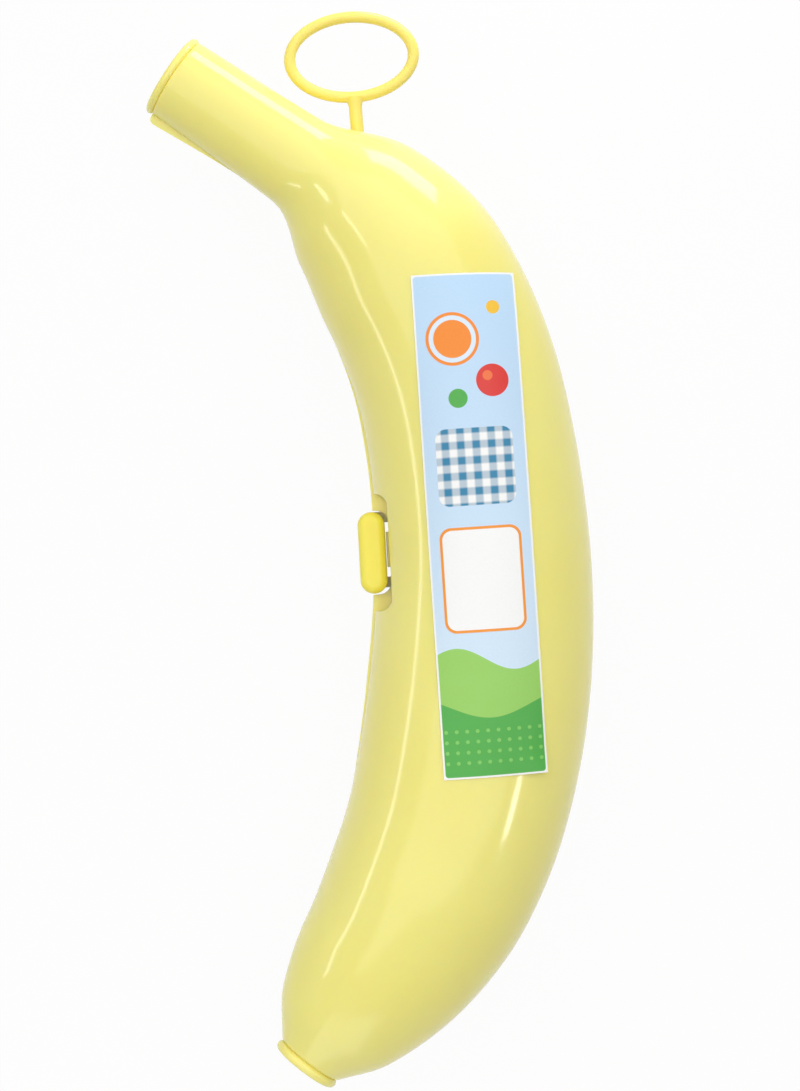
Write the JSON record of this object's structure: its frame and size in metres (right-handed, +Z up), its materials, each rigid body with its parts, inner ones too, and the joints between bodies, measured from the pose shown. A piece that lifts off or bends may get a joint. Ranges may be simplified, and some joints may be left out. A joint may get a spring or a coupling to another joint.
{
  "type": "banana carrying case",
  "caption": "Hard plastic carrying case shaped like a banana: hinged half shells, a turning clip on the inner curve and a swivelling finger ring at the shoulder.",
  "frame": {"origin": "middle of the case's plan box, on the surface that the back shell lies on", "axes": "+Y along the case's length towards the stem end and ring, +X towards the convex, hinged side, +Z up out of the front shell"},
  "size_m": [0.1012, 0.244, 0.0466],
  "materials": {
    "shell_plastic": "glossy pale yellow moulding",
    "trim_plastic": "satin deeper yellow moulding",
    "pin_steel": "drawn wire",
    "label_film": "printed film"
  },
  "bodies": {
    "back": {"back_shell": "shell_plastic", "hinge_pin": "pin_steel", "latch_pin": "pin_steel"},
    "front": {"front_shell": "shell_plastic", "label": "label_film"},
    "clip": {"latch_clip": "trim_plastic"},
    "ring": {"hang_ring": "trim_plastic"}
  },
  "joints": [
    {"name": "lid_hinge", "type": "hinge", "parent": "back", "child": "front", "pos_m": [0.04757, -0.01731, 0.0167], "axis": [0, 1, 0], "range_deg": [0, 115]},
    {"name": "clip_turn", "type": "hinge", "parent": "back", "child": "clip", "pos_m": [0.00206, -0.00109, 0.0182], "axis": [0.055, -0.9985, 0], "range_deg": [0, 95]},
    {"name": "ring_swivel", "type": "hinge", "parent": "back", "child": "ring", "pos_m": [-0.00288, 0.09426, 0.0191], "axis": [-0.0785, 0.9969, 0], "continuous": true}
  ]
}
